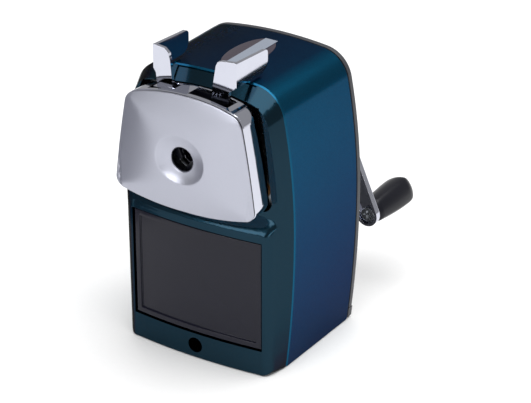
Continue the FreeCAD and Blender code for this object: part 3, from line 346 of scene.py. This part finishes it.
def even_loop(points: np.ndarray, count: int) -> np.ndarray:
    """Respace a closed loop's points evenly along its own length.

    Args:
        points: Array of shape (n, 2).
        count: Points wanted.

    Returns:
        Array of shape (count, 2).
    """
    ring = np.vstack([points, points[:1]])
    run = np.concatenate([[0.0], np.cumsum(np.linalg.norm(np.diff(ring, axis=0), axis=1))])
    at = np.linspace(0.0, run[-1], count, endpoint=False)
    return np.stack([np.interp(at, run, ring[:, k]) for k in (0, 1)], axis=-1)


def outward(loop: np.ndarray) -> np.ndarray:
    """Unit normals that point out of a closed flat loop.

    A normal is the step from the point before to the point after, turned a quarter clockwise. The
    sign of the loop's area, half the sum of x(i) z(i+1) - x(i+1) z(i), says which way it runs.

    Args:
        loop: Points of shape (n, 2).

    Returns:
        Array of shape (n, 2).
    """
    after = np.roll(loop, -1, axis=0)
    area = float(np.sum(loop[:, 0] * after[:, 1] - after[:, 0] * loop[:, 1]) / 2.0)
    step = after - np.roll(loop, 1, axis=0)
    normal = np.stack([step[:, 1], -step[:, 0]], axis=-1)
    return normal / np.linalg.norm(normal, axis=1, keepdims=True) * np.sign(area)


def level(points: np.ndarray, y: "float | np.ndarray") -> np.ndarray:
    """Set flat points, given as x and z, at a depth.

    Args:
        points: Array of shape (n, 2).
        y: One depth, or one for every point.

    Returns:
        Array of shape (n, 3).
    """
    return np.stack([points[:, 0], np.broadcast_to(y, len(points)), points[:, 1]], axis=-1)


def soft_min(a: np.ndarray, b: np.ndarray, blend: float) -> np.ndarray:
    """Lesser of two heights with a rounded join: half of a + b - sqrt((a - b)^2 + blend^2).

    Args:
        a: Heights.
        b: Heights of the same shape.
        blend: How far the join is rounded.

    Returns:
        Array of the same shape.
    """
    return (a + b - np.sqrt((a - b) ** 2 + blend ** 2)) / 2.0


def power_mean(a: np.ndarray, b: np.ndarray, power: float) -> np.ndarray:
    """Lesser of two positive shares with a rounded join: (a^-p + b^-p)^(-1/p).

    Args:
        a: Shares.
        b: Shares of the same shape.
        power: The power p; a greater one makes a sharper join.

    Returns:
        Array of the same shape.
    """
    return (np.maximum(a, 1e-3) ** -power + np.maximum(b, 1e-3) ** -power) ** (-1.0 / power)


# ------------------------------------------------------------------ carried-over pieces

def softened(node: str, body: str, finish: "Finish | PearlPaint", slot: str, width_mm: float = 0.25,
             angle: float = 32.0) -> bpy.types.Object:
    """Stand for a CAD node with the same shape whose edges are broken, as moulding and plating leave them.

    Args:
        node: CAD node name.
        body: Body it rides on.
        finish: Finish to dress it in.
        slot: Material slot of the record.
        width_mm: Width of the rounded edge.
        angle: Edges sharper than this many degrees are rounded.

    Returns:
        The new piece.
    """
    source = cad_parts[node]
    work = bmesh.new()
    work.from_mesh(source.data)
    bmesh.ops.remove_doubles(work, verts=work.verts, dist=MERGE_M)
    bmesh.ops.dissolve_limit(work, angle_limit=math.radians(FLAT_DEG), verts=work.verts, edges=work.edges)
    mesh = bpy.data.meshes.new(node + "_skin")
    work.to_mesh(mesh)
    work.free()
    mesh.shade_smooth()
    mesh.materials.clear()
    mesh.materials.append(finish.material())
    piece = bpy.data.objects.new(node + "_skin", mesh)
    bpy.context.scene.collection.objects.link(piece)
    if width_mm > 0:
        bevel = piece.modifiers.new("edge_break", "BEVEL")
        bevel.width = width_mm * MM
        bevel.segments = 2
        bevel.limit_method = "ANGLE"
        bevel.angle_limit = math.radians(angle)
        bevel.use_clamp_overlap = True
        bevel.miter_outer = "MITER_ARC"
    weigh = piece.modifiers.new("even_shading", "WEIGHTED_NORMAL")
    weigh.keep_sharp = True
    weigh.weight = 60
    seat(piece, body, slot, node)
    return piece


def seat(piece: bpy.types.Object, body: str, slot: str, *nodes: str) -> None:
    """Put a piece on its body, in place of CAD nodes, and log it.

    Args:
        piece: The new piece.
        body: Body it rides on.
        slot: Material slot of the record; not used.
        *nodes: CAD nodes that it stands for.
    """
    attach(piece, body)
    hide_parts(*nodes)
    LOG.info("%s rides %s for %s", piece.name, body, ", ".join(nodes))


def dress(node: str, finish: "Finish | PearlPaint") -> None:
    """Give a CAD node that stays its finish.

    Args:
        node: CAD node name.
        finish: Finish to dress it in.
    """
    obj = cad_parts[node]
    obj.data.materials.clear()
    obj.data.materials.append(finish.material())
    LOG.info("%s keeps its shape in %s", node, finish.name)


# ------------------------------------------------------------------ sub-assemblies

@dataclass
class Casing:
    """Barrel shell, front bezel, rear cover, base and label."""

    body: str = "housing"

    def build(self) -> None:
        """Build and dress every casing piece."""
        softened("outer_shell", self.body, PAINT, "teal_paint", 0.35)
        # the front moulding wears the darker copy of the barrel's paint, which is painted shade
        softened("front_bezel", self.body, SHADED_BEZEL_PAINT, "teal_paint", 0.8)
        softened("rear_cover", self.body, CHARCOAL_ABS, "charcoal_plastic", 0.4)
        softened("base_pan", self.body, CHARCOAL_ABS, "charcoal_plastic", 0.2)
        softened("rubber_foot", self.body, RUBBER, "rubber", 0.3)
        softened("top_label", self.body, LABEL, "label_plastic", 0.0)
        softened("top_label_bar", self.body, SILVER, "silver_bar", 0.1)
        for node in ("rear_cover_screws", "base_screws", "frame_screws", "bezel_screws"):
            softened(node, self.body, ZINC_STEEL, "zinc_steel", 0.15)


@dataclass
class InnerFrame:
    """Steel frame, ring gear, bushes and return springs."""

    body: str = "housing"

    def build(self) -> None:
        """Dress the fixed inner pieces."""
        softened("mech_frame", self.body, ZINC_STEEL, "zinc_steel", 0.2)
        softened("ring_gear", self.body, BLACK_ABS, "black_plastic", 0.1)
        softened("rod_bushes", self.body, BRONZE, "bronze", 0.15)
        softened("shaft_bushes", self.body, BRONZE, "bronze", 0.15)
        dress("return_springs", SPRING)


@dataclass
class FacePlate:
    """Satin plate of the head: a low hipped cushion round an oval dish with the pencil hole.

    All lengths are millimetres; x is across, z is up and the plate rises towards -y.
    """

    centre_z: float = 88.0
    hole_r: float = 4.8
    back_y: float = -36.3
    rim_y: float = -36.7
    spacer_back_y: float = -35.5
    rise: float = 2.5
    dish_x: float = 11.2
    dish_z: float = 10.2
    dish_floor: float = 0.35
    dish_over: float = 0.15
    dish_power: float = 2.2
    dish_blend: float = 0.14
    crest: float = 0.66
    ridge_power: float = 5.0
    slope_power: float = 1.5
    straight_from: float = 74.0
    straight_to: float = 106.0
    edge_r: float = 0.38
    hole_round: float = 0.3
    fine_r: float = 14.0
    fine_rows: int = 34
    face_rows: int = 40
    columns: int = 264
    spacer_inset: float = 0.15
    spacer_gap: float = 0.4

    def outline(self) -> np.ndarray:
        """Outline: crowned top, flared sides, round lower corners and a bowed bottom.

        Returns:
            Even points of shape (columns, 2).
        """
        arcs = (((0, 113.4), (14.0, 112.2), (21.5, 110.4)),
                ((21.5, 110.4), (24.4, 108.6), (25.9, 105.6)),
                ((25.9, 105.6), (28.7, 90.0), (30.9, 74.4)),
                ((30.9, 74.4), (30.5, 71.3), (28.0, 69.3)),
                ((28.0, 69.3), (14.6, 66.8), (0, 66.1)))
        right = np.vstack([arc_points(*a, 60) for a in arcs] + [[(0, 66.1)]])
        left = right[-2:0:-1] * (-1, 1)
        return even_loop(np.vstack([right, left]), self.columns)

    def height(self, x: np.ndarray, z: np.ndarray, loop: np.ndarray) -> np.ndarray:
        """Rise over the rim.

        A point's share of the way in from the side outline and from the top or bottom outline are
        joined by a soft minimum, which makes four faces with rounded ridges between them. The share
        eases up to the crest, and the dish, a bowl of elliptic radius q that grows as q to the 2.2,
        is cut into it with a soft minimum too.

        Args:
            x: Distances across.
            z: Heights of the same shape.
            loop: The outline.

        Returns:
            Rises of the same shape.
        """
        right = loop[loop[:, 0] >= 0]
        sides = right[np.argsort(right[:, 1])]
        inner = sides[(sides[:, 1] > self.straight_from) & (sides[:, 1] < self.straight_to)]
        slope, base = np.polyfit(inner[:, 1], inner[:, 0], 1)
        half_w = np.maximum(base + slope * z, 1.0)
        top = right[right[:, 1] > self.centre_z]
        top = top[np.argsort(top[:, 0])]
        low = right[right[:, 1] < self.centre_z]
        low = low[np.argsort(low[:, 0])]
        reach = np.where(z > self.centre_z, np.interp(np.abs(x), top[:, 0], top[:, 1]) - self.centre_z,
                         self.centre_z - np.interp(np.abs(x), low[:, 0], low[:, 1]))
        across = 1.0 - np.abs(x) / half_w
        upright = 1.0 - np.abs(z - self.centre_z) / np.maximum(reach, 1.0)
        share = np.clip(power_mean(across, upright, self.ridge_power) / self.crest, 0.0, 1.0)
        roof = self.rise * (1.0 - (1.0 - share) ** self.slope_power)
        q = np.hypot(x / self.dish_x, (z - self.centre_z) / self.dish_z)
        dish = self.dish_floor + (self.rise + self.dish_over - self.dish_floor) * q ** self.dish_power
        return soft_min(roof, dish, self.dish_blend)

    def spokes(self, loop: np.ndarray) -> np.ndarray:
        """Unit directions from the hole's centre to a loop's points.

        Args:
            loop: Points of shape (n, 2).

        Returns:
            Array of shape (n, 2).
        """
        ray = loop - (0.0, self.centre_z)
        return ray / np.linalg.norm(ray, axis=1, keepdims=True)

    def build(self) -> bpy.types.Object:
        """Join hole wall, dish, hipped face, rounded rim and flat back into one closed sheet.

        Returns:
            The plate.
        """
        loop = self.outline()
        centre = (0.0, self.centre_z)
        inner = loop - outward(loop) * self.edge_r
        unit = self.spokes(inner)
        ring = unit * self.fine_r + centre
        radii = np.linspace(self.hole_r + self.hole_round, self.fine_r, self.fine_rows)
        flat = [unit * r + centre for r in radii]
        flat += [ring + (inner - ring) * t for t in np.linspace(0.0, 1.0, self.face_rows)[1:]]
        face = np.array(flat)
        rise = self.height(face[..., 0], face[..., 1], loop)
        front = np.stack([face[..., 0], self.rim_y - rise, face[..., 1]], axis=-1)
        hole = unit * self.hole_r + centre
        lip = front[0, :, 1] + self.hole_round
        rim = [level(inner + (loop - inner) * math.sin(a), front[-1, :, 1] + self.edge_r * (1 - math.cos(a)))
               for a in np.radians((25.0, 50.0, 75.0, 90.0))]
        rows = [level(hole, self.back_y), level(hole, lip)] + list(front) + rim
        rows += [level(loop, self.back_y)]
        verts, faces = wrap_grid(np.array(rows), True, True)
        piece = make_piece("face_plate_skin", verts, faces, SATIN)
        seat(piece, "head", "satin_metal", "face_plate")
        return piece

    def gasket(self) -> bpy.types.Object:
        """Black spacer behind the plate: the plate's outline, a little smaller, round a wider hole.

        Returns:
            The spacer.
        """
        loop = self.outline()
        edge = loop - outward(loop) * self.spacer_inset
        hole = self.spokes(edge) * (self.hole_r + self.spacer_gap) + (0.0, self.centre_z)
        ends = ((hole, self.back_y), (hole, self.spacer_back_y),
                (edge, self.spacer_back_y), (edge, self.back_y))
        verts, faces = wrap_grid(np.array([level(ring, y) for ring, y in ends]), True, True)
        piece = make_piece("plate_gasket_skin", verts, faces, BLACK_ABS)
        piece.data.shade_flat()
        seat(piece, "head", "black_plastic", "plate_gasket")
        return piece


@dataclass
class ChuckHead:
    """Sliding head: face plate, plated tub, rods, chuck and fixed lever."""

    body: str = "head"

    def build(self) -> None:
        """Build and dress the head."""
        plate = FacePlate()
        plate.build()
        plate.gasket()
        softened("head_shell", self.body, CHROME, "chrome", 0.3)
        softened("head_back", self.body, BLACK_ABS, "black_plastic", 0.2)
        softened("guide_rods", self.body, GROUND_STEEL, "polished_steel", 0.2)
        softened("chuck_plate", self.body, ZINC_STEEL, "zinc_steel", 0.15)
        softened("jaw_pins", self.body, GROUND_STEEL, "polished_steel", 0.15)
        softened("left_finger_lever", self.body, CHROME, "chrome", 0.35)
        softened("lever_rivets", self.body, GROUND_STEEL, "polished_steel", 0.1)
        softened("right_finger_lever", "squeeze_lever", CHROME, "chrome", 0.35)
        dress("lever_spring", SPRING)
        for k in (1, 2, 3):
            softened(f"chuck_jaw_{k}", f"jaw_{k}", BLACK_ABS, "black_plastic", 0.25)


@dataclass
class Drawer:
    """Smoked shavings drawer."""

    body: str = "drawer"

    def build(self) -> None:
        """Dress the drawer."""
        softened("shavings_drawer", self.body, SMOKED, "smoked_plastic", 0.35)


@dataclass
class CutterTrain:
    """Carrier, tilted cutter and its pinion."""

    def build(self) -> None:
        """Dress the cutter train."""
        softened("cutter_carrier", "crank", CAST_ZINC, "cast_zinc", 0.3)
        softened("cutter_axle", "crank", GROUND_STEEL, "polished_steel", 0.15)
        softened("crank_shaft", "crank", GROUND_STEEL, "polished_steel", 0.2)
        softened("helical_cutter", "cutter", TOOL_STEEL, "tool_steel", 0.08)
        softened("cutter_pinion", "cutter", ZINC_STEEL, "zinc_steel", 0.1)


@dataclass
class CrankKnob:
    """Black knob: four soft faces that meet in ridges, widening to a domed free end. Millimetres."""

    x: float = 27.6
    z: float = 33.6
    neck_y: float = 57.2
    end_y: float = 85.5
    neck_r: float = 5.3
    wide_r: float = 6.95
    dome: float = 6.5
    bore_r: float = 1.5
    bore_depth: float = 16.0
    ridge_deg: float = 72.0
    power: float = 1.5
    neck_step: float = 0.5
    swell_power: float = 0.9
    dome_power: float = 0.8
    columns: int = 96
    rings: int = 12

    def build(self) -> bpy.types.Object:
        """Carry the section along the axis.

        The section's radius at an angle a from a ridge is (|cos a|^p + |sin a|^p)^(-1/p), which is
        a circle at p = 2 and a square on its corner at p = 1. The free end is close to a quarter
        ellipse. The bore's rows come first and stay round.

        Returns:
            The knob.
        """
        angle = np.linspace(0.0, 2.0 * math.pi, self.columns, endpoint=False)
        turned = angle - math.radians(self.ridge_deg)
        spread = np.abs(np.cos(turned)) ** self.power + np.abs(np.sin(turned)) ** self.power
        shape = spread ** (-1 / self.power)
        grip = np.linspace(0.0, 1.0, self.rings)
        grip_y = self.neck_y + self.neck_step + (self.end_y - self.dome - self.neck_y - self.neck_step) * grip
        grip_r = self.neck_r + (self.wide_r - self.neck_r) * np.sin(grip * math.pi / 2) ** self.swell_power
        arc = np.radians(np.linspace(0.0, 90.0, self.rings))[1:]
        rows_y = np.concatenate([[self.neck_y], [self.neck_y], grip_y,
                                 self.end_y - self.dome * (1 - np.sin(arc))])
        rows_r = np.concatenate([[self.bore_r], [self.neck_r - self.neck_step], grip_r,
                                 self.wide_r * np.cos(arc) ** self.dome_power])
        rows_r[-1] = 0.0
        bore_y = np.array([self.neck_y + self.bore_depth] * 2)
        rows_y, rows_r = np.concatenate([bore_y, rows_y]), np.concatenate([[0.0, self.bore_r], rows_r])
        around = np.where((np.arange(len(rows_r)) < 3)[:, None], 1.0, shape[None, :])
        radius = rows_r[:, None] * around
        points = np.stack([self.x + radius * np.cos(angle), np.repeat(rows_y[:, None], self.columns, axis=1),
                           self.z + radius * np.sin(angle)], axis=-1)
        verts, faces = wrap_grid(points, False, True)
        piece = make_piece("crank_knob_skin", verts, faces, BLACK_ABS)
        seat(piece, "knob", "black_plastic", "crank_knob")
        return piece


@dataclass
class Crank:
    """Pressed arm, hub, nut, turning knob and its screw."""

    def build(self) -> None:
        """Build and dress the crank."""
        softened("crank_arm", "crank", CHROME, "chrome", 0.25)
        softened("crank_hub", "crank", BLACK_ABS, "black_plastic", 0.3)
        softened("crank_nut", "crank", CHROME, "chrome", 0.2)
        CrankKnob().build()
        softened("knob_screw", "knob", ZINC_STEEL, "zinc_steel", 0.15)


# ------------------------------------------------------------------ studio

@dataclass
class Studio:
    """Pale floor, soft boxes and the camera."""

    azimuth: float = 32.4
    elevation: float = 26.4
    eye: tuple[float, float, float] = (0.4005, -0.6108, 0.4176)
    lens_mm: float = 141.87119
    sensor_mm: float = 36.0
    floor_m: float = 4.0
    card_left_m: float = 0.14
    card_before_m: float = 0.045
    card_behind_m: float = 0.25
    card_height_m: float = 0.20
    aim_m: tuple[float, float, float] = (0.0, 0.0, 0.06)
    room_light: float = 0.40

    def camera(self) -> None:
        """Place the camera: a long lens to the right of the front, looking down."""
        data = bpy.data.cameras.new("camera")
        data.sensor_width = self.sensor_mm
        data.lens = self.lens_mm
        data.clip_start = 0.01
        obj = bpy.data.objects.new("camera", data)
        obj.location = self.eye
        obj.rotation_euler = (math.radians(90.0 - self.elevation), 0.0, math.radians(self.azimuth))
        bpy.context.scene.collection.objects.link(obj)
        bpy.context.scene.camera = obj

    def floor(self) -> None:
        """Lay a plain pale floor."""
        size = self.floor_m
        corners = [(-size, -size, 0), (size, -size, 0), (size, size, 0), (-size, size, 0)]
        mesh = bpy.data.meshes.new("floor")
        mesh.from_pydata(corners, [], [(0, 1, 2, 3)])
        paper = Finish("white_paper", "#F4F4F4", "#F0F0F0", 0.0, 0.6, Pattern.MOULDED, 2.0, 0.01, 0.02)
        mesh.materials.append(paper.material())
        obj = bpy.data.objects.new("floor", mesh)
        bpy.context.scene.collection.objects.link(obj)

    def soft_box(self, name: str, place: tuple[float, float, float], size: tuple[float, float],
                 watts: float) -> None:
        """Hang a rectangular light aimed at the middle of the object.

        Args:
            name: Light name.
            place: Position in metres.
            size: Width and height in metres.
            watts: Power.
        """
        data = bpy.data.lights.new(name, "AREA")
        data.shape = "RECTANGLE"
        data.size, data.size_y = size
        data.energy = watts
        obj = bpy.data.objects.new(name, data)
        obj.location = place
        aim = Vector(self.aim_m) - Vector(place)
        obj.rotation_euler = aim.to_track_quat("-Z", "Y").to_euler()
        bpy.context.scene.collection.objects.link(obj)

    def flag(self) -> None:
        """Stand a grey card to the left, seen only in reflections, to shade the plate's left slope."""
        turn = math.radians(self.azimuth)
        right = Vector((math.cos(turn), math.sin(turn), 0.0))
        ahead = Vector((-right.y, right.x, 0.0))
        foot = right * -self.card_left_m
        near, far = foot - ahead * self.card_before_m, foot + ahead * self.card_behind_m
        rise = Vector((0.0, 0.0, self.card_height_m))
        mesh = bpy.data.meshes.new("flag")
        mesh.from_pydata([tuple(p) for p in (near, far, far + rise, near + rise)], [], [(0, 1, 2, 3)])
        felt = Finish("grey_felt", "#A4A4AA", "#9C9CA2", 0.0, 0.9, Pattern.MOULDED, 2.0, 0.01, 0.02)
        mesh.materials.append(felt.material())
        obj = bpy.data.objects.new("flag", mesh)
        for kind in ("camera", "diffuse", "shadow", "transmission"):
            setattr(obj, "visible_" + kind, False)
        bpy.context.scene.collection.objects.link(obj)

    def build(self) -> None:
        """Set up camera, floor, card, lights and the pale room."""
        self.camera()
        self.floor()
        self.flag()
        self.soft_box("overhead", (0.3, 0.1, 1.5), (1.8, 1.8), 35.0)
        self.soft_box("key_front", (-0.30, -1.20, 0.42), (0.6, 0.5), 4.0)
        self.soft_box("right_strip", (0.62, -0.95, 0.40), (0.06, 0.8), 1.6)
        world = bpy.data.worlds.new("pale_room")
        world.use_nodes = True
        sky = world.node_tree.nodes["Background"]
        sky.inputs["Color"].default_value = (1.0, 1.0, 1.0, 1.0)
        sky.inputs["Strength"].default_value = self.room_light
        bpy.context.scene.world = world
        bpy.context.scene.view_settings.view_transform = "Standard"


def main() -> None:
    """Build every sub-assembly and the studio."""
    logging.basicConfig(level=logging.INFO, format="%(name)s: %(message)s")
    Studio().build()
    for part in (Casing(), InnerFrame(), ChuckHead(), Drawer(), CutterTrain(), Crank()):
        LOG.info("building %s", type(part).__name__)
        part.build()


if __name__ == "__main__":
    main()
